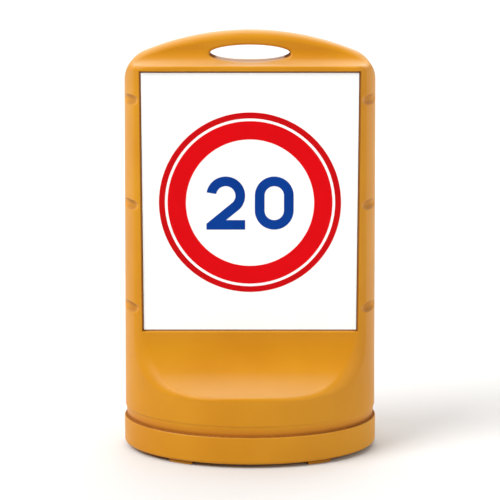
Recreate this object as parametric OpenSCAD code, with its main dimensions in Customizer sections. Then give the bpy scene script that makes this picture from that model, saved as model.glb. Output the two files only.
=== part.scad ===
// Freestanding sign with a hollow ballast base, a hand slot and a sign plate on each face.
// Millimetres. Origin on the floor under the middle, +Z up, the front faces -Y.

/* [Body] */
// Overall height, floor to crown
body_h = 800; // [780:5:830]
// Overall width of the base wall
body_w = 484; // [476:2:496]
// Overall depth of the base wall
body_d = 330; // [320:2:344]
// How much narrower each side is at the shoulders than at the floor
side_draft = 7.5; // [5:0.5:9]
// Wall of the blow-moulded shell
wall = 4; // [3:0.25:4.5]
// Height of the moulded feet
foot_h = 7; // [5:0.5:9]
// Width of one foot
foot_w = 45; // [35:1:55]
// Depth of one foot, from the base wall inwards
foot_d = 28; // [20:1:34]
// Distance of a foot's middle from the sign's middle
foot_x = 130; // [120:1:140]

/* [Base ring] */
// Height of the groove's lower edge
groove_z = 60; // [52:1:66]
// Height of the groove opening
groove_h = 20; // [14:1:24]
// Depth of the groove
groove_d = 5; // [3:0.5:7]
// How far the ring under the groove stands out
ring_out = 1.5; // [1:0.25:3]
// Bevel of the ring's lower edge
ring_bevel = 6; // [4:0.5:9]

/* [Frame] */
// Thickness of the frame that holds the plates
frame_t = 150; // [146:1:154]
// Radius of the cove between frame and base
cove_r = 115; // [110:1:118]
// Height where the cove meets the frame
cove_z = 240; // [237:1:241]
// Radius of the crown arc
crown_r = 515; // [500:5:540]
// Radius of the shoulders
shoulder_r = 60; // [54:1:66]
// Distance from the crown down to the shelf above the plates
shelf_drop = 60; // [59:0.5:62]
// Rounding of the shelf's outer edge
shelf_round = 5; // [4.75:0.25:6]

/* [Grip] */
// Thickness of the grip
grip_t = 54; // [50:1:58]
// Radius of the fillet between grip and shelf
grip_fillet = 27; // [24:1:30]
// Width of the hand slot
slot_w = 150; // [140:1:156]
// Height of the hand slot
slot_h = 32; // [28:1:33]
// Distance from the crown down to the slot's middle
slot_drop = 42; // [41:0.5:43]

/* [Side notches] */
// Radius of a notch
notch_r = 9.5; // [8:0.5:11]
// Depth of a notch at its middle
notch_deep = 6.5; // [5:0.5:7.5]
// Length of the cut that makes a notch
notch_len = 100; // [96:1:104]
// Height of the lowest notch over the plate's lower edge
notch_low = 41; // [36:1:46]
// Distance of the highest notch from the plate's upper edge
notch_top = 51; // [46:1:56]
// Number of notches on each edge
notch_n = 3; // [2:1:3]
// Distance of a notch's middle from the sign's middle plane
notch_y = 55; // [53:1:57]

/* [Sign plate] */
// Width of the plate
plate_w = 400; // [390:1:402]
// Width of the frame's strip over the plate
top_strip = 13; // [12:0.5:16]
// Thickness of the plate
plate_t = 3; // [2:0.25:3.5]
// Height of the plate's lower edge over the top of the cove
plate_lift = 3; // [2.5:0.5:5]
// Gap round the plate
plate_gap = 1.5; // [1:0.25:2]
// How far the plate lies behind the frame's face
plate_sunk = 4; // [3:0.25:5]
// Thickness of the tape
tape_t = 0.6; // [0.4:0.1:1]
// Width of a strip of tape
tape_w = 25; // [18:1:30]
// Distance from the plate's sides to the outer strips
tape_edge = 22.5; // [10:0.5:40]
// Distance from the plate's ends to the strips
tape_end = 32; // [20:1:60]
// Thickness of the cut films
film_t = 0.3; // [0.2:0.05:0.4]

/* [Sign face] */
// Outer radius of the thin ring
ring_a_r = 169; // [160:1:176]
// Width of the thin ring
ring_a_w = 11; // [8:0.5:13]
// Bare line between the rings
ring_gap = 5; // [3:0.5:7]
// Width of the wide ring
ring_b_w = 34; // [28:1:38]
// Height of the numerals
digit_h = 100; // [92:1:108]
// Width of one numeral
digit_w = 72; // [66:1:76]
// Gap between the numerals
digit_gap = 18; // [12:1:24]
// Width of a numeral's stroke
stroke = 18; // [15:0.5:20]

/* [Filler] */
// Distance of the neck's axis from the base wall
neck_in = 47; // [46:0.5:49]
// Height of the pad that the neck stands on
pad_z = 136; // [135:0.5:138]
// Radius of the pad
pad_r = 34; // [33:0.5:35]
// Radius of the pocket round the cap
pocket_r = 37; // [36:0.5:38]
// Outer radius of the neck
neck_r = 24; // [23:0.5:24.5]
// Bore radius of the neck
neck_bore_r = 19; // [17:0.5:20]
// Height of the neck over its flange
neck_h = 18; // [17.5:0.25:19]
// Radius of the neck's flange
flange_r = 32; // [30:0.5:32.5]
// Thickness of the neck's flange
flange_t = 3; // [2:0.25:4]
// Length of the neck below the pad
spigot_h = 10; // [8:0.5:12]
// How much thinner the spigot is than the neck
spigot_step = 1; // [0.75:0.25:1.5]
// Gap between the spigot and its hole
spigot_gap = 0.1; // [0.05:0.05:0.2]

/* [Thread] */
// Pitch of the thread
pitch = 6; // [5.75:0.25:6.25]
// Turns of thread on the neck
neck_turns = 2.2; // [2:0.1:2.3]
// Turns of thread in the cap
cap_turns = 1.25; // [1:0.05:1.3]
// Height of a thread ridge
ridge_d = 1.6; // [1.3:0.1:1.8]
// Thickness of a thread ridge at its root
ridge_w = 2.4; // [2.2:0.1:2.6]
// Thickness of a thread ridge at its tip
ridge_tip_w = 1.2; // [1:0.1:1.4]
// Depth by which a thread ridge is rooted in its wall
ridge_root = 0.4; // [0.3:0.05:0.6]
// Clearance between the cap and the neck
thread_gap = 0.5; // [0.45:0.05:0.7]

/* [Cap] */
// Outer radius of the cap
cap_r = 30; // [29:0.25:31]
// Thickness of the cap's top
cap_top = 3.4; // [2.5:0.1:4]
// Gap under the cap's skirt
skirt_gap = 1; // [0.5:0.1:1.2]
// Number of flutes round the cap
flute_n = 24; // [16:1:28]
// Radius of a flute
flute_r = 1.6; // [1.2:0.1:1.9]
// Height of the grip bar on the cap
bar_h = 5; // [3:0.5:6]
// Thickness of the grip bar
bar_t = 8; // [6:0.5:10]
// Thickness of the gasket
gasket_t = 2; // [1.5:0.1:2.5]
// Gap between moving faces
run_gap = 0.3; // [0.3:0.05:0.4]

/* [Hidden] */

half_w = body_w / 2;
half_d = body_d / 2;
half_t = frame_t / 2;
grip_y = grip_t / 2;
shelf_z = body_h - shelf_drop;
slot_z = body_h - slot_drop;
neck_y = half_d - neck_in;
over = body_d;
orange = "#d4913a";
arc_steps = 10;
full_turn = 360;

// Shoulders touch the drafted sides and the crown arc
shoulder_start = 8;
crown_cz = body_h - crown_r;
shoulder_cx = half_w - side_draft - shoulder_r;
shoulder_cz = crown_cz + sqrt(pow(crown_r - shoulder_r, 2) - pow(shoulder_cx, 2));
shoulder_end = atan2(shoulder_cz - crown_cz, shoulder_cx);

// Faces of the plate, measured from the sign's middle plane
plate_z = cove_z + plate_lift;
plate_h = shelf_z - top_strip - plate_z;
plate_mid_z = plate_z + plate_h / 2;
plate_face = half_t - plate_sunk;
plate_back = plate_face - plate_t;
recess_back = plate_back - tape_t;
ring_b_r = ring_a_r - ring_a_w - ring_gap;
tape_len = plate_h - 2 * tape_end;
tape_step = plate_w / 2 - tape_edge - tape_w / 2;

// Heights of the notches
notch_z = plate_z + notch_low;
notch_step = (plate_h - notch_low - notch_top) / (notch_n - 1);

// Heights in the filler, from the pad up
neck_foot_z = pad_z + flange_t;
neck_top_z = neck_foot_z + neck_h;
gasket_z = neck_top_z + run_gap;
cap_in_z = gasket_z + gasket_t + run_gap;
cap_z = neck_foot_z + skirt_gap;
cap_bore_r = neck_r + ridge_d + thread_gap;
spigot_r = neck_r - spigot_step;
thread_z = neck_foot_z + ridge_w;
cap_thread_start = -120;
ridge_steps = 36;
ridge_lead = 4;
ridge_end_share = 0.3;

// Points on an arc about c, from angle a0 to a1
function arc(c, r, a0, a1, n = arc_steps) =
    [for (i = [0:n]) let (a = a0 + (a1 - a0) * i / n) [c[0] + r * cos(a), c[1] + r * sin(a)]];

// An outline of one half, mirrored about the second axis to make the whole
function both_halves(p) = concat(p, [for (i = [len(p) - 1:-1:0]) [-p[i][0], p[i][1]]]);

// Half width of the drafted side at height z
function side_at(z) = half_w - side_draft * z / shoulder_cz;

// Oval column of the base and the frame's sides, inset by t
module oval_column(t) {
    ring_w = half_w + ring_out - t;
    groove_top = groove_z + groove_h + t;
    scale([1, (half_d - t) / (half_w - t), 1])
        rotate_extrude($fn = 120)
            polygon([
                [0, foot_h + t],
                [ring_w - ring_bevel + t / 2, foot_h + t],
                [ring_w, foot_h + ring_bevel + t / 2],
                [ring_w, groove_z - t],
                [half_w - groove_d - t, groove_z - t],
                [half_w - groove_d - t, groove_top],
                [side_at(groove_top) - t, groove_top],
                [side_at(body_h) - t, body_h],
                [0, body_h],
            ]);
}

// Side view: base, cove, frame, shelf and grip, inset by t
module side_profile(t) {
    edge_r = max(shelf_round, t);
    polygon(both_halves(concat(
        [[over, foot_h + t], [over, cove_z - cove_r - t]],
        arc([half_t + cove_r, cove_z], cove_r + t, 270, 180),
        arc([half_t - edge_r, shelf_z - edge_r], edge_r - t, 0, 90, 4),
        arc([grip_y + grip_fillet, shelf_z + grip_fillet], grip_fillet + t, 270, 180),
        [[grip_y - t, body_h]]
    )));
}

// Front view: shoulders and crown, inset by t
module front_outline(t) {
    r = shoulder_r - t;
    low = [
        shoulder_cx + r * cos(shoulder_start) + over * sin(shoulder_start),
        shoulder_cz + r * sin(shoulder_start) - over * cos(shoulder_start),
    ];
    polygon(both_halves(concat(
        [[low[0], foot_h + t], low],
        arc([shoulder_cx, shoulder_cz], r, shoulder_start, shoulder_end),
        [for (p = arc([0, crown_cz], crown_r - t, shoulder_end, 90)) if (p[0] < shoulder_cx && p[0] > t / 2) p],
        [[0, body_h - t]]
    )));
}

// Hand slot, grown by t
module hand_slot(t) {
    translate([0, over / 2, slot_z])
        rotate([90, 0, 0])
            scale([(slot_w / 2 + t) / (slot_h / 2 + t), 1, 1])
                cylinder(h = over, r = slot_h / 2 + t, $fn = 72);
}

// Recess for a plate in the front face, grown by t
module recess(t) {
    w = plate_w / 2 + plate_gap + t;
    translate([-w, -over, plate_z - plate_gap - t])
        cube([2 * w, over - recess_back + t, plate_h + 2 * (plate_gap + t)]);
}

// One notch across the front left edge, grown by t
module notch(z, t) {
    x = side_at(z) * sqrt(1 - pow(notch_y / half_d, 2));
    turn = atan2(notch_y / pow(half_d, 2), x / pow(side_at(z), 2));
    translate([-x, -notch_y, z])
        rotate([0, 0, turn])
            translate([notch_deep - notch_r, -notch_len / 2, 0])
                rotate([-90, 0, 0])
                    cylinder(h = notch_len, r = notch_r + t, $fn = 48);
}

// Pocket in the rear apron that holds the filler, grown by t
module filler_pocket(t) {
    translate([0, neck_y, pad_z - t]) cylinder(h = over, r = pocket_r + t, $fn = 72);
}

// The moulding's form without its feet, inset by t
module moulding(t) {
    difference() {
        intersection() {
            oval_column(t);
            rotate([90, 0, 90]) translate([0, 0, -over]) linear_extrude(2 * over) side_profile(t);
            rotate([90, 0, 0]) translate([0, 0, -over]) linear_extrude(2 * over) front_outline(t);
        }
        hand_slot(t);
        filler_pocket(t);
        for (turn = [0, 180]) rotate([0, 0, turn]) {
            recess(t);
            for (i = [0:notch_n - 1]) {
                notch(notch_z + i * notch_step, t);
                mirror([1, 0, 0]) notch(notch_z + i * notch_step, t);
            }
        }
    }
}

// Oval slab that the feet are cut from, inset by t and reaching below the floor
module foot_slab(t) {
    translate([0, 0, -wall])
        scale([1, (half_d - t) / (half_w - t), 1])
            cylinder(h = foot_h + 3 * wall / 2, r = half_w - t, $fn = 120);
}

module feet() {
    for (side = [-1, 1])
        intersection() {
            difference() {
                foot_slab(ring_bevel);
                translate([0, 0, -wall / 2]) scale([1, 1, 2]) foot_slab(ring_bevel + foot_d);
            }
            translate([side * foot_x - foot_w / 2, -over, 0]) cube([foot_w, 2 * over, foot_h + wall / 2]);
        }
}

module body_shell() {
    color(orange)
        difference() {
            union() {
                moulding(0);
                feet();
                translate([0, neck_y, pad_z - wall]) cylinder(h = wall, r = pad_r, $fn = 72);
            }
            moulding(wall);
            translate([0, neck_y, pad_z - 2 * wall]) cylinder(h = 3 * wall, r = spigot_r + spigot_gap, $fn = 72);
        }
}

// One thread ridge between the radius of its root and the radius of its tip, right-handed
module ridge(root_r, tip_r, turns, z, start) {
    n = ceil(ridge_steps * turns);
    outward = tip_r > root_r;
    points = [
        for (i = [0:n])
            let (
                a = start + full_turn * turns * i / n,
                h = z + pitch * turns * i / n,
                rise = max(ridge_end_share, min(1, i / ridge_lead, (n - i) / ridge_lead)),
                tip = root_r + (tip_r - root_r) * rise,
                inner = outward ? [root_r, ridge_w / 2] : [tip, ridge_tip_w / 2],
                outer = outward ? [tip, ridge_tip_w / 2] : [root_r, ridge_w / 2]
            )
            for (p = [[inner[0], -inner[1]], [outer[0], -outer[1]], outer, inner])
                [p[0] * cos(a), p[0] * sin(a), h + p[1]]
    ];
    faces = concat(
        [[3, 2, 1], [3, 1, 0], [4 * n, 4 * n + 1, 4 * n + 2], [4 * n, 4 * n + 2, 4 * n + 3]],
        [for (i = [0:n - 1], k = [0:3])
            for (f = [[4 * i + k, 4 * i + (k + 1) % 4, 4 * (i + 1) + (k + 1) % 4],
                      [4 * i + k, 4 * (i + 1) + (k + 1) % 4, 4 * (i + 1) + k]]) f]
    );
    polyhedron(points, faces, convexity = 6);
}

module filler_neck() {
    color("#dcdcd6")
        translate([0, neck_y, 0]) {
            difference() {
                union() {
                    translate([0, 0, pad_z - spigot_h]) cylinder(h = spigot_h + flange_t, r = spigot_r, $fn = 72);
                    translate([0, 0, pad_z]) cylinder(h = flange_t, r = flange_r, $fn = 72);
                    translate([0, 0, pad_z]) cylinder(h = neck_top_z - pad_z, r = neck_r, $fn = 72);
                }
                translate([0, 0, pad_z - 2 * spigot_h]) cylinder(h = 2 * spigot_h + over, r = neck_bore_r, $fn = 72);
            }
            ridge(neck_r - ridge_root, neck_r + ridge_d, neck_turns, thread_z, 0);
        }
}

module filler_cap() {
    color("#1e1e20")
        translate([0, neck_y, 0]) {
            difference() {
                union() {
                    translate([0, 0, cap_z]) cylinder(h = cap_in_z + cap_top - cap_z, r = cap_r, $fn = 96);
                    intersection() {
                        translate([-cap_r, -bar_t / 2, cap_in_z]) cube([2 * cap_r, bar_t, cap_top + bar_h]);
                        translate([0, 0, cap_in_z]) cylinder(h = cap_top + bar_h, r = cap_r - 2 * flute_r, $fn = 96);
                    }
                }
                translate([0, 0, cap_z - wall]) cylinder(h = cap_in_z - cap_z + wall, r = cap_bore_r, $fn = 96);
                for (i = [0:flute_n - 1])
                    rotate([0, 0, full_turn * i / flute_n])
                        translate([cap_r + flute_r / 2, 0, cap_z - wall]) cylinder(h = over, r = flute_r, $fn = 24);
            }
            ridge(
                cap_bore_r + ridge_root, neck_r + thread_gap, cap_turns,
                thread_z + pitch / 2 + pitch * cap_thread_start / full_turn, cap_thread_start
            );
        }
}

module cap_gasket() {
    color("#2b2b2b")
        translate([0, neck_y, gasket_z])
            difference() {
                cylinder(h = gasket_t, r = cap_bore_r - run_gap, $fn = 96);
                translate([0, 0, -gasket_t]) cylinder(h = 3 * gasket_t, r = neck_bore_r, $fn = 72);
            }
}

// Lays a flat outline on the front plate's face, film_t thick
module on_plate() {
    translate([0, -plate_face, plate_mid_z]) rotate([90, 0, 0]) linear_extrude(film_t) children();
}

module plate() {
    color("#fbfbf9")
        translate([-plate_w / 2, -plate_face, plate_z]) cube([plate_w, plate_t, plate_h]);
}

module tape() {
    color("#d8d8d0")
        for (i = [-1:1])
            translate([i * tape_step - tape_w / 2, -plate_back, plate_mid_z - tape_len / 2])
                cube([tape_w, tape_t, tape_len]);
}

// Flat ring of cut film
module ring(r, w) {
    color("#e0121c")
        on_plate() difference() {
            circle(r = r, $fn = 144);
            circle(r = r - w, $fn = 144);
        }
}

// Outline of an upright rounded loop
function loop(w, h) = concat(
    arc([0, h / 2 - w / 2], w / 2, 0, 180, 2 * arc_steps),
    arc([0, w / 2 - h / 2], w / 2, 180, 360, 2 * arc_steps)
);

module zero() {
    difference() {
        polygon(loop(digit_w, digit_h));
        polygon(loop(digit_w - 2 * stroke, digit_h - 2 * stroke));
    }
}

module two() {
    r = digit_w / 2;
    c = [0, digit_h / 2 - r];
    base = -digit_h / 2;
    from = 170;
    turn = -45;
    heel_share = 0.62;
    outer = arc(c, r, from, turn, 2 * arc_steps);
    inner = arc(c, r - stroke, turn, from, 2 * arc_steps);
    heel = [-r, base + stroke * heel_share];
    slope = (inner[0][1] - heel[1]) / (inner[0][0] - heel[0]);
    last = outer[len(outer) - 1];
    polygon(concat(
        outer,
        [[last[0] - (last[1] - base - stroke) / slope, base + stroke], [r, base + stroke], [r, base], [-r, base], heel],
        inner
    ));
}

module numerals() {
    shift = (digit_w + digit_gap) / 2;
    color("#0a3c96")
        on_plate() {
            translate([-shift, 0]) two();
            translate([shift, 0]) zero();
        }
}

module to_rear() {
    rotate([0, 0, 180]) children();
}

module front_panel() { plate(); }
module front_tape() { tape(); }
module front_outer_ring() { ring(ring_a_r, ring_a_w); }
module front_inner_ring() { ring(ring_b_r, ring_b_w); }
module front_numerals() { numerals(); }
module rear_panel() { to_rear() plate(); }
module rear_tape() { to_rear() tape(); }
module rear_outer_ring() { to_rear() ring(ring_a_r, ring_a_w); }
module rear_inner_ring() { to_rear() ring(ring_b_r, ring_b_w); }
module rear_numerals() { to_rear() numerals(); }

body_shell();
filler_neck();
filler_cap();
cap_gasket();
front_panel();
front_tape();
front_outer_ring();
front_inner_ring();
front_numerals();
rear_panel();
rear_tape();
rear_outer_ring();
rear_inner_ring();
rear_numerals();
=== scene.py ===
import bpy, bmesh, math
import numpy as np
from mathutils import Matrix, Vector


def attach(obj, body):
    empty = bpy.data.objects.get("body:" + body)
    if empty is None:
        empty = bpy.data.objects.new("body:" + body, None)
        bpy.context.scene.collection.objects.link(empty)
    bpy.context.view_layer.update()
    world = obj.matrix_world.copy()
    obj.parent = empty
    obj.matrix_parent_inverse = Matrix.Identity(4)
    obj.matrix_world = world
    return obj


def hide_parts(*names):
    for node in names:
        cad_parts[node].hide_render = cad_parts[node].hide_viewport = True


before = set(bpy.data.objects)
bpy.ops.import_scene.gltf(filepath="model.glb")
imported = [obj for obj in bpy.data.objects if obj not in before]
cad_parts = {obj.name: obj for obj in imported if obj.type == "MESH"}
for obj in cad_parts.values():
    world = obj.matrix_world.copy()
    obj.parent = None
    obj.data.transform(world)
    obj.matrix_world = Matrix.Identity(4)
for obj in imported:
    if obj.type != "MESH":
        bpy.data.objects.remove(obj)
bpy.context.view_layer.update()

mm = 0.001

# The camera stands a little above the sign and looks down at its lower middle
camera = {"eye": (0, -3.2, 1.036), "aim": (0, 0, 0.3817), "lens": 123.2, "sensor": 36}
cameraData = bpy.data.cameras.new("camera")
cameraData.lens = camera["lens"]
cameraData.sensor_width = camera["sensor"]
cameraObject = bpy.data.objects.new("camera", cameraData)
cameraObject.location = camera["eye"]
looking = Vector(camera["aim"]) - Vector(camera["eye"])
cameraObject.rotation_euler = looking.to_track_quat("-Z", "Y").to_euler()
bpy.context.collection.objects.link(cameraObject)
bpy.context.scene.camera = cameraObject
bpy.context.scene.view_settings.view_transform = "Standard"
print("camera set")


def linear(hexColour):  # sRGB hex to the linear colour that a socket takes
    parts = [int(hexColour[i:i + 2], 16) / 255 for i in (1, 3, 5)]
    return tuple(c / 12.92 if c <= 0.04045 else ((c + 0.055) / 1.055) ** 2.4 for c in parts) + (1,)


def addNode(tree, kind, values=None, links=None, **settings):
    node = tree.nodes.new(kind)
    for name, value in settings.items():
        setattr(node, name, value)
    for name, value in (values or {}).items():
        node.inputs[name].default_value = value
    for name, source in (links or {}).items():
        tree.links.new(source, node.inputs[name])
    return node


def newMaterial(name):
    material = bpy.data.materials.new(name)
    material.use_nodes = True
    material.node_tree.nodes.clear()
    return material, material.node_tree


# Blow-moulded HDPE, orange yellow: an even satin skin with a fine grain from the mould, faint waves
# where the wall shrank, a thin parting line round the middle, a painted highlight where it faces up, and painted shade
# in the gap round the plates, the groove and the hollows
polyethylene = {
    "colour": "#c8850c", "pale": "#cc8b12", "deep": "#c37f08", "roughness": 0.42,
    "grain": 2.2, "wave": 38, "cloud": 160, "line": 0.9,  # the line is given as half its width
    "gapShade": "#8f5404", "gapLow": 72.6, "gapHigh": 73.1, "gapRise": 1.9, "gapHalfWidth": 203.6,
    "gapMiddle": 484, "gapHalfHeight": 246, "lipTop": 243.5,
    "groove": "#b4630a", "grooveShare": 0.8, "grooveFrom": 60.2, "grooveLow": 62, "grooveTop": 77,
    "topHighlight": "#cf9d5c", "highlightFrom": 0.62, "hollow": "#854a04", "hollowFrom": 0.06, "hollowFull": 0.45, "mostTint": 0.9,
}
shellMaterial, tree = newMaterial("mouldedPolyethylene")
place = addNode(tree, "ShaderNodeTexCoord")
cloud = addNode(tree, "ShaderNodeTexNoise", {"Scale": 1 / (polyethylene["cloud"] * mm), "Detail": 3},
                {"Vector": place.outputs["Object"]})
tint = addNode(tree, "ShaderNodeValToRGB", links={"Fac": cloud.outputs["Fac"]})
tint.color_ramp.elements[0].position = 0.3
tint.color_ramp.elements[0].color = linear(polyethylene["deep"])
tint.color_ramp.elements[1].position = 0.7
tint.color_ramp.elements[1].color = linear(polyethylene["pale"])
middleTint = tint.color_ramp.elements.new(0.5)
middleTint.color = linear(polyethylene["colour"])
axes = addNode(tree, "ShaderNodeSeparateXYZ", links={"Vector": place.outputs["Object"]})
side = addNode(tree, "ShaderNodeMath", links={0: axes.outputs["Y"]}, operation="ABSOLUTE")
across = addNode(tree, "ShaderNodeMath", links={0: axes.outputs["X"]}, operation="ABSOLUTE")

# Painted shade: brown in the gap round the plates, deeper in at their lower edge
overLip = addNode(tree, "ShaderNodeMath", {1: polyethylene["lipTop"] * mm}, {0: axes.outputs["Z"]},
                  operation="GREATER_THAN")
gapReach = addNode(tree, "ShaderNodeMath", {1: -polyethylene["gapRise"] * mm},
                   {0: overLip.outputs[0], 2: side.outputs[0]}, operation="MULTIPLY_ADD")
inGap = addNode(tree, "ShaderNodeMapRange", {"From Min": polyethylene["gapLow"] * mm, "To Min": 1, "To Max": 0,
                                            "From Max": polyethylene["gapHigh"] * mm},
                {"Value": gapReach.outputs[0]})
inWidth = addNode(tree, "ShaderNodeMath", {1: polyethylene["gapHalfWidth"] * mm}, {0: across.outputs[0]},
                  operation="LESS_THAN")
inHeight = addNode(tree, "ShaderNodeMath", {1: polyethylene["gapMiddle"] * mm, 2: polyethylene["gapHalfHeight"] * mm},
                   {0: axes.outputs["Z"]}, operation="COMPARE")
gapX = addNode(tree, "ShaderNodeMath", links={0: inGap.outputs[0], 1: inWidth.outputs[0]}, operation="MULTIPLY")
gapAll = addNode(tree, "ShaderNodeMath", links={0: gapX.outputs[0], 1: inHeight.outputs[0]}, operation="MULTIPLY")
gapShaded = addNode(tree, "ShaderNodeMix", {7: linear(polyethylene["gapShade"])},
                {0: gapAll.outputs[0], 6: tint.outputs["Color"]}, data_type="RGBA")

# Painted shade: a deeper orange in the groove over the foot ring, where the wall above shades it
inGroove = addNode(tree, "ShaderNodeMapRange",
                   {"From Min": polyethylene["grooveLow"] * mm, "From Max": polyethylene["grooveTop"] * mm,
                    "To Min": polyethylene["grooveShare"], "To Max": 0},
                   {"Value": axes.outputs["Z"]})
overRing = addNode(tree, "ShaderNodeMath", {1: polyethylene["grooveFrom"] * mm}, {0: axes.outputs["Z"]},
                   operation="GREATER_THAN")
grooveAll = addNode(tree, "ShaderNodeMath", links={0: inGroove.outputs[0], 1: overRing.outputs[0]},
                    operation="MULTIPLY")
grooved = addNode(tree, "ShaderNodeMix", {7: linear(polyethylene["groove"])},
                  {0: grooveAll.outputs[0], 6: gapShaded.outputs[2]}, data_type="RGBA")

# A painted highlight, paler where it faces up, and painted shade, brown in the hollows
surface = addNode(tree, "ShaderNodeNewGeometry")
facing = addNode(tree, "ShaderNodeSeparateXYZ", links={"Vector": surface.outputs["Normal"]})
upward = addNode(tree, "ShaderNodeMapRange", {"From Min": polyethylene["highlightFrom"], "From Max": 1, "To Min": 0,
                                             "To Max": polyethylene["mostTint"]},
                 {"Value": facing.outputs["Z"]})
topHighlight = addNode(tree, "ShaderNodeMix", {7: linear(polyethylene["topHighlight"])},
                {0: upward.outputs[0], 6: grooved.outputs[2]}, data_type="RGBA")
hollow = addNode(tree, "ShaderNodeAttribute", attribute_name="hollow")
inHollow = addNode(tree, "ShaderNodeMapRange",
                   {"From Min": polyethylene["hollowFrom"], "From Max": polyethylene["hollowFull"], "To Min": 0,
                    "To Max": polyethylene["mostTint"]},
                   {"Value": hollow.outputs["Fac"]})
skinTint = addNode(tree, "ShaderNodeMix", {7: linear(polyethylene["hollow"])},
                   {0: inHollow.outputs[0], 6: topHighlight.outputs[2]}, data_type="RGBA")

# Grain, waves and the parting line, and a duller skin in the hollows
grain = addNode(tree, "ShaderNodeTexNoise", {"Scale": 1 / (polyethylene["grain"] * mm), "Detail": 4},
                {"Vector": place.outputs["Object"]})
wave = addNode(tree, "ShaderNodeTexNoise", {"Scale": 1 / (polyethylene["wave"] * mm), "Detail": 1},
               {"Vector": place.outputs["Object"]})
sheen = addNode(tree, "ShaderNodeMapRange", {"To Min": polyethylene["roughness"] - 0.05,
                                            "To Max": polyethylene["roughness"] + 0.06},
                {"Value": grain.outputs["Fac"]})
gloss = addNode(tree, "ShaderNodeMath", {1: 0.5}, {0: inHollow.outputs[0], 2: sheen.outputs[0]},
                operation="MULTIPLY_ADD")
seam = addNode(tree, "ShaderNodeMapRange", {"From Max": polyethylene["line"] * mm, "To Min": 1, "To Max": 0},
               {"Value": side.outputs[0]}, interpolation_type="SMOOTHSTEP")
seamBump = addNode(tree, "ShaderNodeBump", {"Strength": 0.5, "Distance": 0.35 * mm},
                   {"Height": seam.outputs["Result"]})
waveBump = addNode(tree, "ShaderNodeBump", {"Strength": 0.25, "Distance": 0.5 * mm},
                   {"Height": wave.outputs["Fac"], "Normal": seamBump.outputs["Normal"]})
grainBump = addNode(tree, "ShaderNodeBump", {"Strength": 0.35, "Distance": 0.12 * mm},
                    {"Height": grain.outputs["Fac"], "Normal": waveBump.outputs["Normal"]})
skin = addNode(tree, "ShaderNodeBsdfPrincipled", {"IOR": 1.5, "Specular IOR Level": 0.24},
               {"Base Color": skinTint.outputs[2], "Roughness": gloss.outputs["Value"],
                "Normal": grainBump.outputs["Normal"]})
addNode(tree, "ShaderNodeOutputMaterial", links={"Surface": skin.outputs["BSDF"]})

# Foamed PVC sheet, extruded: a clean white face, matt, with a very fine orange peel
pvcSheet = {"colour": "#fbfbfa", "shade": "#f5f5f3", "roughness": 0.45, "peel": 3, "cloud": 90}
plateMaterial, tree = newMaterial("foamedPvcSheet")
place = addNode(tree, "ShaderNodeTexCoord")
cloud = addNode(tree, "ShaderNodeTexNoise", {"Scale": 1 / (pvcSheet["cloud"] * mm), "Detail": 2},
                {"Vector": place.outputs["Object"]})
tint = addNode(tree, "ShaderNodeValToRGB", links={"Fac": cloud.outputs["Fac"]})
tint.color_ramp.elements[0].color = linear(pvcSheet["shade"])
tint.color_ramp.elements[1].color = linear(pvcSheet["colour"])
tint.color_ramp.elements[1].position = 0.55
peel = addNode(tree, "ShaderNodeTexNoise", {"Scale": 1 / (pvcSheet["peel"] * mm), "Detail": 2},
               {"Vector": place.outputs["Object"]})
peelBump = addNode(tree, "ShaderNodeBump", {"Strength": 0.2, "Distance": 0.06 * mm},
                   {"Height": peel.outputs["Fac"]})
skin = addNode(tree, "ShaderNodeBsdfPrincipled", {"IOR": 1.53, "Roughness": pvcSheet["roughness"]},
               {"Base Color": tint.outputs["Color"], "Normal": peelBump.outputs["Normal"]})
addNode(tree, "ShaderNodeOutputMaterial", links={"Surface": skin.outputs["BSDF"]})


# Cast vinyl film, cut: a solid even colour with a soft gloss and a faint ripple where it was laid
vinyl = {"roughness": 0.42, "cloud": 45, "ripple": 18}


def vinylFilm(name, colour, deep):
    material, tree = newMaterial(name)
    place = addNode(tree, "ShaderNodeTexCoord")
    cloud = addNode(tree, "ShaderNodeTexNoise", {"Scale": 1 / (vinyl["cloud"] * mm), "Detail": 2},
                    {"Vector": place.outputs["Object"]})
    tint = addNode(tree, "ShaderNodeValToRGB", links={"Fac": cloud.outputs["Fac"]})
    tint.color_ramp.elements[0].position = 0.35
    tint.color_ramp.elements[0].color = linear(deep)
    tint.color_ramp.elements[1].position = 0.65
    tint.color_ramp.elements[1].color = linear(colour)
    ripple = addNode(tree, "ShaderNodeTexNoise", {"Scale": 1 / (vinyl["ripple"] * mm), "Detail": 1},
                     {"Vector": place.outputs["Object"]})
    rippleBump = addNode(tree, "ShaderNodeBump", {"Strength": 0.15, "Distance": 0.1 * mm},
                         {"Height": ripple.outputs["Fac"]})
    skin = addNode(tree, "ShaderNodeBsdfPrincipled",
                   {"IOR": 1.5, "Roughness": vinyl["roughness"], "Specular IOR Level": 0.08},
                   {"Base Color": tint.outputs["Color"], "Normal": rippleBump.outputs["Normal"]})
    addNode(tree, "ShaderNodeOutputMaterial", links={"Surface": skin.outputs["BSDF"]})
    return material


redFilm = vinylFilm("redVinylFilm", "#d9000a", "#d40009")
darkRedFilm = vinylFilm("deepRedVinylFilm", "#c70309", "#c10209")
blueFilm = vinylFilm("blueVinylFilm", "#003a8f", "#003587")

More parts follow.
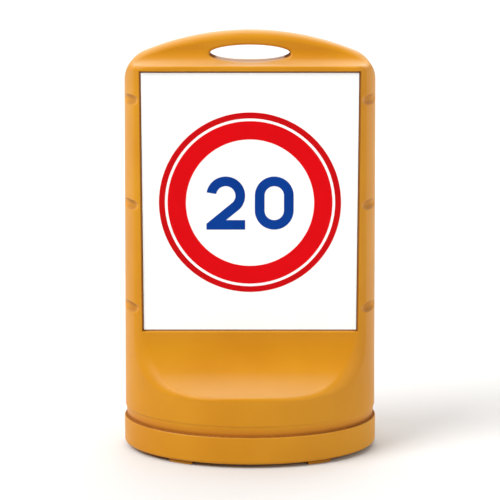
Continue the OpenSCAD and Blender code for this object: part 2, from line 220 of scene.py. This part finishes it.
# Polypropylene, injection moulded and sparked: near black with a fine even grain, greyer on worn edges
blackPp = {"colour": "#1d1e20", "worn": "#3b3c3e", "roughness": 0.5, "grain": 0.9}
capMaterial, tree = newMaterial("grainedPolypropylene")
place = addNode(tree, "ShaderNodeTexCoord")
grain = addNode(tree, "ShaderNodeTexNoise", {"Scale": 1 / (blackPp["grain"] * mm), "Detail": 3},
                {"Vector": place.outputs["Object"]})
shape = addNode(tree, "ShaderNodeNewGeometry")
wornEdge = addNode(tree, "ShaderNodeMapRange", {"From Min": 0.52, "From Max": 0.6},
                   {"Value": shape.outputs["Pointiness"]})
mixTint = addNode(tree, "ShaderNodeMix", {6: linear(blackPp["colour"]), 7: linear(blackPp["worn"])},
                  {0: wornEdge.outputs["Result"]}, data_type="RGBA")
grainBump = addNode(tree, "ShaderNodeBump", {"Strength": 0.5, "Distance": 0.1 * mm},
                    {"Height": grain.outputs["Fac"]})
gloss = addNode(tree, "ShaderNodeMapRange", {"To Min": blackPp["roughness"] - 0.08,
                                            "To Max": blackPp["roughness"] + 0.08},
                {"Value": grain.outputs["Fac"]})
skin = addNode(tree, "ShaderNodeBsdfPrincipled", {"IOR": 1.49},
               {"Base Color": mixTint.outputs[2], "Roughness": gloss.outputs["Result"],
                "Normal": grainBump.outputs["Normal"]})
addNode(tree, "ShaderNodeOutputMaterial", links={"Surface": skin.outputs["BSDF"]})


# A plain moulded stuff: one colour with a small drift, a grain and a matt skin
def plainMoulding(name, colour, drift, roughness, grainSize, ior):
    material, tree = newMaterial(name)
    place = addNode(tree, "ShaderNodeTexCoord")
    grain = addNode(tree, "ShaderNodeTexNoise", {"Scale": 1 / (grainSize * mm), "Detail": 3},
                    {"Vector": place.outputs["Object"]})
    tint = addNode(tree, "ShaderNodeValToRGB", links={"Fac": grain.outputs["Fac"]})
    tint.color_ramp.elements[0].position = 0.3
    tint.color_ramp.elements[0].color = linear(drift)
    tint.color_ramp.elements[1].position = 0.7
    tint.color_ramp.elements[1].color = linear(colour)
    grainBump = addNode(tree, "ShaderNodeBump", {"Strength": 0.4, "Distance": 0.1 * mm},
                        {"Height": grain.outputs["Fac"]})
    skin = addNode(tree, "ShaderNodeBsdfPrincipled", {"IOR": ior, "Roughness": roughness},
                   {"Base Color": tint.outputs["Color"], "Normal": grainBump.outputs["Normal"]})
    addNode(tree, "ShaderNodeOutputMaterial", links={"Surface": skin.outputs["BSDF"]})
    return material


neckMaterial = plainMoulding("naturalPolyethylene", "#dcdcd4", "#d2d2c8", 0.38, 1.5, 1.5)  # milky, waxy
edgeShadeMaterial = plainMoulding("pvcEdgePaintedShade", "#8a5a1c", "#7c4e14", 0.8, 0.8, 1.53)  # rough cut edge, painted brown: the shade in the gap with the shell's orange reflected in it
rubberMaterial = plainMoulding("mattNitrileRubber", "#2b2b2c", "#232324", 0.72, 0.8, 1.52)  # dull dark grey
tapeMaterial = plainMoulding("closedCellFoamTape", "#dadad2", "#cbcbc2", 0.85, 0.6, 1.45)  # open matt foam edge
print("materials made")


# A form is the zero surface of a depth function, in millimetres, negative inside

def rounded(a, b, r):  # inside both, with the edge between them rounded to r
    return np.minimum(-r, np.maximum(a, b)) + np.hypot(np.maximum(a + r, 0), np.maximum(b + r, 0))


def filleted(a, b, r):  # inside either, with the corner between them filled to r
    return np.maximum(r, np.minimum(a, b)) - np.hypot(np.maximum(r - a, 0), np.maximum(r - b, 0))


def ovalDepth(x, y, a, b):
    near = np.maximum(np.hypot(x / a, y / b), 1e-3)
    return near * (near - 1) / np.maximum(np.hypot(x / a ** 2, y / b ** 2), 1e-9)


def ramp(v, low, high):  # a smooth step from 0 to 1
    t = np.clip((v - low) / (high - low), 0, 1)
    return t * t * (3 - 2 * t)


def steps(*stretches):  # grid lines: (from, to, spacing), one stretch after the other
    lines = [np.array([stretches[0][0]], float)]
    for low, high, spacing in stretches:
        n = max(1, round((high - low) / spacing))
        lines.append(low + (high - low) * np.arange(1, n + 1) / n)
    return np.concatenate(lines)


def zeroSurface(depth, xs, ys, zs, mirrored):  # corner points and four-sided faces where depth is zero
    values = depth(xs[:, None, None], ys[None, :, None], zs[None, None, :]).astype(np.float32)
    if mirrored:  # xs starts at 0, and the other half is the same
        values = np.concatenate([values[:0:-1], values])
        xs = np.concatenate([-xs[:0:-1], xs])
    lines = (xs, ys, zs)
    shape = tuple(n - 1 for n in values.shape)
    total = np.zeros(shape + (3,), np.float32)
    count = np.zeros(shape, np.float32)
    crossings = []
    for axis in range(3):
        low = values.take(range(values.shape[axis] - 1), axis)
        high = values.take(range(1, values.shape[axis]), axis)
        crossed = (low < 0) != (high < 0)
        at = np.argwhere(crossed)
        share = low[crossed] / (low[crossed] - high[crossed])
        point = np.stack([lines[k][at[:, k]] for k in range(3)], 1)
        point[:, axis] += share * (lines[axis][at[:, axis] + 1] - lines[axis][at[:, axis]])
        others = [k for k in range(3) if k != axis]
        for da in (0, 1):
            for db in (0, 1):
                cell = at.copy()
                cell[:, others[0]] -= da
                cell[:, others[1]] -= db
                ok = ((cell >= 0) & (cell < shape)).all(1)
                place = tuple(cell[ok].T)
                np.add.at(count, place, 1)
                for k in range(3):
                    np.add.at(total[..., k], place, point[ok, k])
        crossings.append((at, low[crossed] < 0))
    active = count > 0
    index = -np.ones(shape, int)
    index[active] = np.arange(active.sum())
    points = total[active] / count[active][:, None]
    faces = []
    for axis, (at, leaving) in enumerate(crossings):
        u, v = (axis + 1) % 3, (axis + 2) % 3
        ring = []
        for du, dv in ((1, 1), (0, 1), (0, 0), (1, 0)):
            cell = at.copy()
            cell[:, u] -= du
            cell[:, v] -= dv
            ring.append(index[tuple(cell.T)])
        quad = np.stack(ring, 1)
        quad[~leaving] = quad[~leaving][:, ::-1]
        faces.append(quad)
    return points.astype(float), np.concatenate(faces)


def slopeOf(depth, p, h=0.05):
    slope = np.empty_like(p)
    for k in range(3):
        a, b = p.copy(), p.copy()
        a[:, k] -= h
        b[:, k] += h
        slope[:, k] = (depth(*b.T) - depth(*a.T)) / (2 * h)
    return slope


def settle(depth, points, reach, rounds=4):  # moves the corner points onto the zero surface
    p = points.copy()
    for _ in range(rounds):
        slope = slopeOf(depth, p)
        move = -depth(*p.T)[:, None] * slope / np.maximum((slope ** 2).sum(1), 0.05)[:, None]
        size = np.linalg.norm(move, axis=1)
        p += move * np.minimum(1, reach / np.maximum(size, 1e-9))[:, None]
    return p


def addSurface(name, depth, xs, ys, zs, reach, material, mirrored=False, centre=(0, 0, 0)):
    points, faces = zeroSurface(depth, xs, ys, zs, mirrored)
    points = settle(depth, points, reach)
    normals = slopeOf(depth, points, 0.3)
    normals /= np.maximum(np.linalg.norm(normals, axis=1), 1e-9)[:, None]
    mesh = bpy.data.meshes.new(name)
    mesh.from_pydata(((points + np.array(centre)) * mm).tolist(), [], faces.tolist())
    mesh.polygons.foreach_set("use_smooth", [True] * len(mesh.polygons))
    mesh.normals_split_custom_set_from_vertices(normals.tolist())
    reachOut = 12  # a point lies in a hollow, which is painted brown as shade, if there is less room than this over it
    hollow = np.clip(1 - depth(*(points + normals * reachOut).T) / reachOut, 0, 1)
    mesh.attributes.new("hollow", "FLOAT", "POINT").data.foreach_set("value", hollow.astype(np.float32))
    mesh.materials.append(material)
    piece = bpy.data.objects.new(name, mesh)
    bpy.context.collection.objects.link(piece)
    print(name, len(faces), "faces")
    return piece


# The moulded shell: a waisted column cut to a flat body, with a base ring, a hand slot and a filler well
shell = {
    "halfWidth": 242, "halfDepth": 165, "height": 800, "draft": 7.5 / 705.2, "columnFillet": 1.5,
    "ringOut": 1.4, "ringLow": 7, "ringTop": 60, "ringRound": 6, "grooveTop": 80, "grooveDeep": 4.4, "grooveRound": 2.5,
    "grooveSlope": 0.1, "coreIn": 10,
    "frame": 75, "coveRadius": 115, "coveTop": 240, "ledgeLift": 9, "ledgeHalf": 118, "ledgeFrom": 100, "ledgeRun": 65,
    "shelf": 740, "shelfRound": 5, "shelfSides": 4, "sidesFrom": 120, "sidesTo": 210, "grip": 27, "gripFillet": 27,
    "crease": 6.5, "creaseSides": 10, "creasePosts": 4.5, "creaseFrom": 120, "creaseTo": 195,
    "postLow": 180, "postHigh": 245,
    "crown": 515, "crownRound": 18, "shoulder": 60, "shoulderX": 174.5, "shoulderZ": 705.2, "lean": 8,
    "slotHalfWidth": 75, "slotHalfHeight": 16, "slotHeight": 758, "slotRound": 4.5,
    "recessX": 201.5, "recessLow": 241.5, "recessTop": 728.5, "recessFace": 67.4, "recessStep": 70.4, "stepIn": 1.2,
    "recessRound": 2.5, "lipRound": 5, "lipLow": 238, "lipHigh": 252,
    "notchRadius": 9.5, "notchOut": 2.4, "notchHalf": 53, "notchY": 55, "notches": (284, 480, 676), "notchRound": 1.6,
    "footX": 130, "footHalf": 22.5, "footIn": 6, "footDeep": 28, "footRound": 1.5, "footOver": 3, "footFillet": 1,
    "fillerY": 118, "pocketRadius": 37, "padHeight": 136, "pocketRound": 4, "mouthRadius": 23, "mouthFloor": 40,
}


def shellDepth(x, y, z):
    s = shell
    x = np.abs(x)
    deep = np.abs(y)
    deepShare = s["halfDepth"] / s["halfWidth"]

    # The column, the ring at its foot and the core that shows in the groove between them
    wide = s["halfWidth"] - s["draft"] * z
    wall = rounded(ovalDepth(x, y, wide, wide * deepShare), s["grooveTop"] - z, s["grooveRound"])
    ringWide = s["halfWidth"] + s["ringOut"]
    ring = rounded(ovalDepth(x, y, ringWide, ringWide * deepShare), z - s["ringTop"], s["grooveRound"])
    ring = rounded(ring, s["ringLow"] - z, s["ringRound"])
    rise = np.clip(z - s["ringTop"], 0, s["grooveTop"] - s["ringTop"])
    coreWide = s["halfWidth"] - s["grooveDeep"] + s["grooveSlope"] * rise
    core = ovalDepth(x, y, coreWide, coreWide * deepShare)
    core = np.maximum(core, np.maximum(s["ringLow"] + s["coreIn"] - z, z - s["grooveTop"] - s["coreIn"]))
    column = filleted(np.minimum(wall, ring), core, s["columnFillet"])

    # The flat body with its coves, and the grip that rises from its shelf
    ledge = s["ledgeLift"] * np.clip(1 - (x / s["ledgeHalf"]) ** 2, 0, 1)
    ledge = ledge * np.clip((deep - s["ledgeFrom"]) / s["ledgeRun"], 0, 1.1) ** 2
    drop = np.maximum(s["coveTop"] + ledge - z, 0)
    coved = s["coveRadius"] - np.hypot(np.maximum(s["frame"] + s["coveRadius"] - deep, 0), drop)
    face = np.where(z < s["coveTop"], coved, deep - s["frame"])
    shelfRound = s["shelfRound"] + s["shelfSides"] * ramp(x, s["sidesFrom"], s["sidesTo"])
    body = rounded(face, z - s["shelf"], shelfRound)
    body = filleted(body, deep - s["grip"], s["gripFillet"])
    post = ramp(z, s["postLow"], s["postHigh"])
    softer = ramp(x, s["creaseFrom"], s["creaseTo"]) * (s["creaseSides"] * (1 - post) + s["creasePosts"] * post)
    body = rounded(column, body, s["crease"] + softer)

    # The outline seen from the front: leaning sides, round shoulders and a long arc over them
    crownZ = s["height"] - s["crown"]
    crown = np.hypot(x, z - crownZ) - s["crown"]
    fromX, fromZ = x - s["shoulderX"], z - s["shoulderZ"]
    corner = np.hypot(fromX, fromZ) - s["shoulder"]
    below = fromX - s["shoulder"] + fromZ * math.tan(math.radians(s["lean"]))
    past = fromX * (s["shoulderZ"] - crownZ) - fromZ * s["shoulderX"] > 0  # outside the line from the crown's centre
    outline = np.where(fromZ < 0, below, np.where(past, corner, crown))
    body = rounded(body, outline, s["crownRound"] * ramp(z, s["shoulderZ"], s["height"]))

    slot = ovalDepth(x, z - s["slotHeight"], s["slotHalfWidth"], s["slotHalfHeight"])
    body = rounded(body, -slot, s["slotRound"])

    # The recess for a plate, with a shallow step round it
    middle = (s["recessLow"] + s["recessTop"]) / 2
    half = (s["recessTop"] - s["recessLow"]) / 2
    edge = np.maximum(x - s["recessX"], np.abs(z - middle) - half)
    recess = np.maximum(edge, np.where(edge < -s["stepIn"], s["recessFace"], s["recessStep"]) - deep)
    lip = s["recessRound"] + (s["lipRound"] - s["recessRound"]) * (1 - ramp(z, s["lipLow"], s["lipHigh"]))
    body = rounded(body, -recess, lip)

    # Notches like a finger's bed, across the corner of each post
    flat = s["notchY"] / s["halfDepth"]
    for height in s["notches"]:
        wideHere = s["halfWidth"] - s["draft"] * height
        atX = wideHere * math.sqrt(1 - flat ** 2)
        normal = np.array([atX / wideHere ** 2, s["notchY"] / s["halfDepth"] ** 2])
        normal /= np.linalg.norm(normal)
        outward = (x - atX) * normal[0] + (deep - s["notchY"]) * normal[1] - s["notchOut"]
        along = (deep - s["notchY"]) * normal[0] - (x - atX) * normal[1]
        notch = np.maximum(np.hypot(outward, z - height) - s["notchRadius"], np.abs(along) - s["notchHalf"])
        body = rounded(body, -notch, s["notchRound"])

    # The filler's well at the rear, and the hole in its floor
    pocket = np.maximum(np.hypot(x, y - s["fillerY"]) - s["pocketRadius"], s["padHeight"] - z)
    body = rounded(body, -pocket, s["pocketRound"])
    mouth = np.maximum(np.hypot(x, y - s["fillerY"]) - s["mouthRadius"], s["mouthFloor"] - z)
    body = np.maximum(body, -mouth)

    # Four feet, cut from an oval band
    footWide = s["halfWidth"] - s["footIn"]
    footDeep = s["halfDepth"] - s["footIn"]
    inner = ovalDepth(x, y, footWide - s["footDeep"], footDeep - s["footDeep"])
    foot = rounded(ovalDepth(x, y, footWide, footDeep), -inner, s["footRound"])
    foot = rounded(foot, np.abs(x - s["footX"]) - s["footHalf"], s["footRound"])
    foot = rounded(foot, -z, s["footRound"])
    foot = np.maximum(foot, z - s["ringLow"] - s["footOver"])
    return filleted(body, foot, s["footFillet"])


# The grid is close where a form turns quickly, and open where it is flat
xs = steps((0, 39, 2.6), (39, 66, 4.5), (66, 80, 1.75), (80, 106, 4.4), (106, 112, 1.5), (112, 148, 4.5),
           (148, 154, 1.5), (154, 196, 4.2), (196, 208, 1), (208, 248, 2))
ys = steps((-170, -150, 2), (-150, -118, 4), (-118, -80, 4), (-80, -62, 1.2), (-62, -20, 3), (-20, 20, 5),
           (20, 62, 3), (62, 80, 1.2), (80, 158, 2.6), (158, 170, 2))
zs = steps((-2, 16, 1.2), (16, 55, 4.5), (55, 85, 1.5), (85, 118, 4.5), (118, 210, 2.6), (210, 232, 4),
           (232, 250, 1.2), (250, 268, 4), (268, 300, 2), (300, 464, 4.6), (464, 496, 2), (496, 660, 4.6),
           (660, 692, 2), (692, 722, 3.5), (722, 746, 1.2), (746, 804, 2.2))
mouldedShell = addSurface("moulded_shell", shellDepth, xs, ys, zs, 2, shellMaterial, mirrored=True)
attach(mouldedShell, "stand")
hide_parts("body_shell")
print("shell made")


# The filler cap, fluted, with a bar to turn it by
cap = {"y": 118, "low": 140, "radius": 30, "inside": 159.6, "top": 163, "bore": 26.1, "flutes": 24, "fluteRadius": 1.6,
       "fluteRound": 0.5, "footRound": 0.6, "barTop": 168, "barHalf": 4, "barEnd": 26.8, "barRound": 1.5, "round": 1.2,
       "grid": 0.8}


def capDepth(x, y, z):
    c = cap
    out = np.hypot(x, y)
    turn = math.tau / c["flutes"]
    angle = np.arctan2(y, x)
    nearest = angle - np.round(angle / turn) * turn
    flute = np.hypot(out * np.cos(nearest) - c["radius"] - c["fluteRadius"] / 2, out * np.sin(nearest))
    drum = rounded(out - c["radius"], z - c["top"], c["round"])
    drum = rounded(drum, c["low"] - z, c["footRound"])
    drum = rounded(drum, c["fluteRadius"] - flute, c["fluteRound"])
    bar = rounded(np.abs(y) - c["barHalf"], out - c["barEnd"], c["barRound"])
    bar = rounded(bar, z - c["barTop"], c["round"])
    bar = np.maximum(bar, c["inside"] - z)
    whole = filleted(drum, bar, c["barRound"])
    bore = np.maximum(out - c["bore"], z - c["inside"])
    return rounded(whole, -bore, c["fluteRound"])


around = steps((-31, 31, cap["grid"]))
upCap = steps((139, 169.4, cap["grid"]))
screwCap = addSurface("screw_cap", capDepth, around, around, upCap, 0.6, capMaterial, centre=(0, cap["y"], 0))
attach(screwCap, "cap")
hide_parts("filler_cap")
print("cap made")


# Plates and films are made for the front, and turned for the rear
plate = {"width": 400, "low": 243, "height": 484, "thick": 3, "face": 71, "edge": 0.9, "flatShare": 0.95}
film = {"thick": 0.3, "edge": 0.06}
sign = {"outer": 169, "outerWidth": 11, "inner": 153, "innerWidth": 34, "around": 256,
        "digitHeight": 100, "digitWidth": 72, "digitGap": 18, "stroke": 18,
        "hookFrom": 170, "hookTo": -45, "heelShare": 0.62}  # the arc of the 2, in degrees, and the height of its heel
plateMiddle = plate["low"] + plate["height"] / 2


def finishMesh(bm, name, material):
    mesh = bpy.data.meshes.new(name)
    bm.to_mesh(mesh)
    bm.free()
    mesh.materials.append(material)
    piece = bpy.data.objects.new(name, mesh)
    bpy.context.collection.objects.link(piece)
    return piece


def toSide(piece, rear):  # drawings lie flat with their face up at z = 0; this stands them on the sign's face
    spin = math.pi if rear else 0
    for vertex in piece.data.vertices:
        x, y, z = vertex.co
        across, out = x, -(plate["face"] * mm + z)
        vertex.co = (across * math.cos(spin) - out * math.sin(spin), across * math.sin(spin) + out * math.cos(spin),
                     plateMiddle * mm + y)
    piece.data.update()


def plateMesh(name):  # sawn sheet with its edges eased
    bm = bmesh.new()
    bmesh.ops.create_cube(bm, size=1)
    bmesh.ops.scale(bm, vec=(plate["width"] * mm, plate["height"] * mm, plate["thick"] * mm), verts=bm.verts)
    bmesh.ops.translate(bm, vec=(0, 0, -plate["thick"] * mm / 2), verts=bm.verts)
    bmesh.ops.bevel(bm, geom=bm.edges[:], offset=plate["edge"] * mm, segments=2, profile=0.6, affect="EDGES")
    # the edge faces take the painted brown shade of the gap round the plate
    for face in bm.faces:
        face.material_index = 1 if abs(face.normal.z) < plate["flatShare"] else 0
    piece = finishMesh(bm, name, plateMaterial)
    piece.data.materials.append(edgeShadeMaterial)
    return piece


def ringMesh(name, outer, width, material):
    t, e = film["thick"], film["edge"]
    within = outer - width
    section = [(within, 0), (within, t - e), (within + e, t), (outer - e, t), (outer, t - e), (outer, 0)]
    bm = bmesh.new()
    rings = []
    for r, h in section:
        rings.append([bm.verts.new((r * mm * math.cos(a), r * mm * math.sin(a), h * mm))
                      for a in (math.tau * i / sign["around"] for i in range(sign["around"]))])
    for k in range(len(section)):
        a, b = rings[k], rings[(k + 1) % len(section)]
        for i in range(sign["around"]):
            j = (i + 1) % sign["around"]
            bm.faces.new((a[i], a[j], b[j], b[i]))
    bmesh.ops.recalc_face_normals(bm, faces=bm.faces)
    return finishMesh(bm, name, material)


def arcPoints(cx, cy, r, start, end, n=32):
    return [(cx + r * math.cos(math.radians(start + (end - start) * i / n)),
             cy + r * math.sin(math.radians(start + (end - start) * i / n))) for i in range(n + 1)]


def loopPoints(w, h):
    return arcPoints(0, h / 2 - w / 2, w / 2, 0, 180) + arcPoints(0, w / 2 - h / 2, w / 2, 180, 360)


def twoPoints():
    w, h, stroke = sign["digitWidth"], sign["digitHeight"], sign["stroke"]
    r, base = w / 2, -h / 2
    cy = h / 2 - r
    outer = arcPoints(0, cy, r, sign["hookFrom"], sign["hookTo"])
    inner = arcPoints(0, cy, r - stroke, sign["hookTo"], sign["hookFrom"])
    heel = (-r, base + stroke * sign["heelShare"])
    slope = (inner[0][1] - heel[1]) / (inner[0][0] - heel[0])
    knee = (outer[-1][0] - (outer[-1][1] - base - stroke) / slope, base + stroke)
    return outer + [knee, (r, base + stroke), (r, base), (-r, base), heel] + inner


def filmFrom(bm, outline, hole, dx):  # one cut letter form with its edge eased
    t = film["thick"] * mm
    def level(points, h):
        return [bm.verts.new(((x + dx) * mm, y * mm, h)) for x, y in points]
    if hole:
        for h, turned in ((t, False), (0, True)):
            a, b = level(outline, h), level(hole, h)
            n = len(a)
            for i in range(n):
                j = (i + 1) % n
                quad = (a[i], a[j], b[j], b[i])
                bm.faces.new(quad[::-1] if turned else quad)
    else:
        top, low = level(outline, t), level(outline, 0)
        bm.faces.new(top)
        bm.faces.new(low[::-1])
    for points in (outline, hole):
        if points:
            a, b = level(points, t), level(points, 0)
            n = len(a)
            for i in range(n):
                j = (i + 1) % n
                bm.faces.new((a[i], b[i], b[j], a[j]))


def numeralMesh(name):
    bm = bmesh.new()
    shift = (sign["digitWidth"] + sign["digitGap"]) / 2
    filmFrom(bm, twoPoints()[::-1], None, -shift)
    zeroHole = loopPoints(sign["digitWidth"] - 2 * sign["stroke"], sign["digitHeight"] - 2 * sign["stroke"])
    filmFrom(bm, loopPoints(sign["digitWidth"], sign["digitHeight"]), zeroHole, shift)
    bmesh.ops.remove_doubles(bm, verts=bm.verts, dist=0.001 * mm)
    bmesh.ops.triangulate(bm, faces=[f for f in bm.faces if len(f.verts) > 4])
    bmesh.ops.recalc_face_normals(bm, faces=bm.faces)
    return finishMesh(bm, name, blueFilm)


for sideName, rear in (("front", False), ("rear", True)):
    sheet = plateMesh(sideName + "_plate")
    thinRing = ringMesh(sideName + "_thin_ring", sign["outer"], sign["outerWidth"], darkRedFilm)
    wideRing = ringMesh(sideName + "_wide_ring", sign["inner"], sign["innerWidth"], redFilm)
    digits = numeralMesh(sideName + "_digits")
    pieces = [(sheet, "panel", "plate"), (thinRing, "outer_ring", "ring_film_dark"),
              (wideRing, "inner_ring", "ring_film"), (digits, "numerals", "numeral_film")]
    for piece, node, slot in pieces:
        toSide(piece, rear)
        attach(piece, "stand")
        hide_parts(sideName + "_" + node)
print("plates and films made")

# The CAD's own forms stay for the neck, the gasket and the tape
for node, material in (("filler_neck", neckMaterial), ("cap_gasket", rubberMaterial),
                       ("front_tape", tapeMaterial), ("rear_tape", tapeMaterial)):
    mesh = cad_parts[node].data
    if not mesh.materials:
        mesh.materials.append(material)
    for i in range(len(mesh.materials)):
        mesh.materials[i] = material
print("kept nodes dressed")


# Floor and light
floor = {"size": 120, "colour": "#d6d5d3", "roughness": 0.75}
floorMaterial, tree = newMaterial("paleStudioFloor")
place = addNode(tree, "ShaderNodeTexCoord")
cloud = addNode(tree, "ShaderNodeTexNoise", {"Scale": 1.5, "Detail": 2}, {"Vector": place.outputs["Object"]})
gloss = addNode(tree, "ShaderNodeMapRange", {"To Min": floor["roughness"] - 0.05,
                                            "To Max": floor["roughness"] + 0.05},
                {"Value": cloud.outputs["Fac"]})
skin = addNode(tree, "ShaderNodeBsdfPrincipled", {"Base Color": linear(floor["colour"]), "Specular IOR Level": 0.2},
               {"Roughness": gloss.outputs["Result"]})
addNode(tree, "ShaderNodeOutputMaterial", links={"Surface": skin.outputs["BSDF"]})
bm = bmesh.new()
bmesh.ops.create_grid(bm, x_segments=4, y_segments=4, size=floor["size"] / 2)
floorObject = finishMesh(bm, "floor", floorMaterial)

# A studio with a bright wall behind the sign and a dim room in front of it; what is seen past the floor is white
room = {"dim": 0.1, "bright": 1.05, "from": -0.2, "full": 0.7}
world = bpy.data.worlds.new("studio")
bpy.context.scene.world = world
world.use_nodes = True
tree = world.node_tree
tree.nodes.clear()
place = addNode(tree, "ShaderNodeTexCoord")
axes = addNode(tree, "ShaderNodeSeparateXYZ", links={"Vector": place.outputs["Generated"]})
towardsWall = addNode(tree, "ShaderNodeMapRange", {"From Min": room["from"], "From Max": room["full"],
                                                  "To Min": room["dim"], "To Max": room["bright"]},
                      {"Value": axes.outputs["Y"]}, interpolation_type="SMOOTHSTEP")
ray = addNode(tree, "ShaderNodeLightPath")
seenWhite = addNode(tree, "ShaderNodeMath", operation="MAXIMUM",
                    links={0: towardsWall.outputs["Result"], 1: ray.outputs["Is Camera Ray"]})
sky = addNode(tree, "ShaderNodeBackground", {"Color": (1, 1, 1, 1)}, {"Strength": seenWhite.outputs["Value"]})
addNode(tree, "ShaderNodeOutputWorld", links={"Surface": sky.outputs["Background"]})

lights = {  # each is a wide soft source, so far off that it lights the whole floor evenly
    "key": {"from": (-1.0, -0.55, 1.2), "strength": 2.8, "spread": 34},
    "fill": {"from": (1.1, -0.85, 0.55), "strength": 1.3, "spread": 60},
    "back": {"from": (0.3, 1.0, 0.9), "strength": 0.6, "spread": 50},
    "top": {"from": (-0.15, 0.1, 1.0), "strength": 1.1, "spread": 60},
}
for name, light in lights.items():
    data = bpy.data.lights.new(name, "SUN")
    data.energy = light["strength"]
    data.angle = math.radians(light["spread"])
    lamp = bpy.data.objects.new(name, data)
    lamp.rotation_euler = (-Vector(light["from"])).to_track_quat("-Z", "Y").to_euler()
    bpy.context.collection.objects.link(lamp)
print("studio lit")
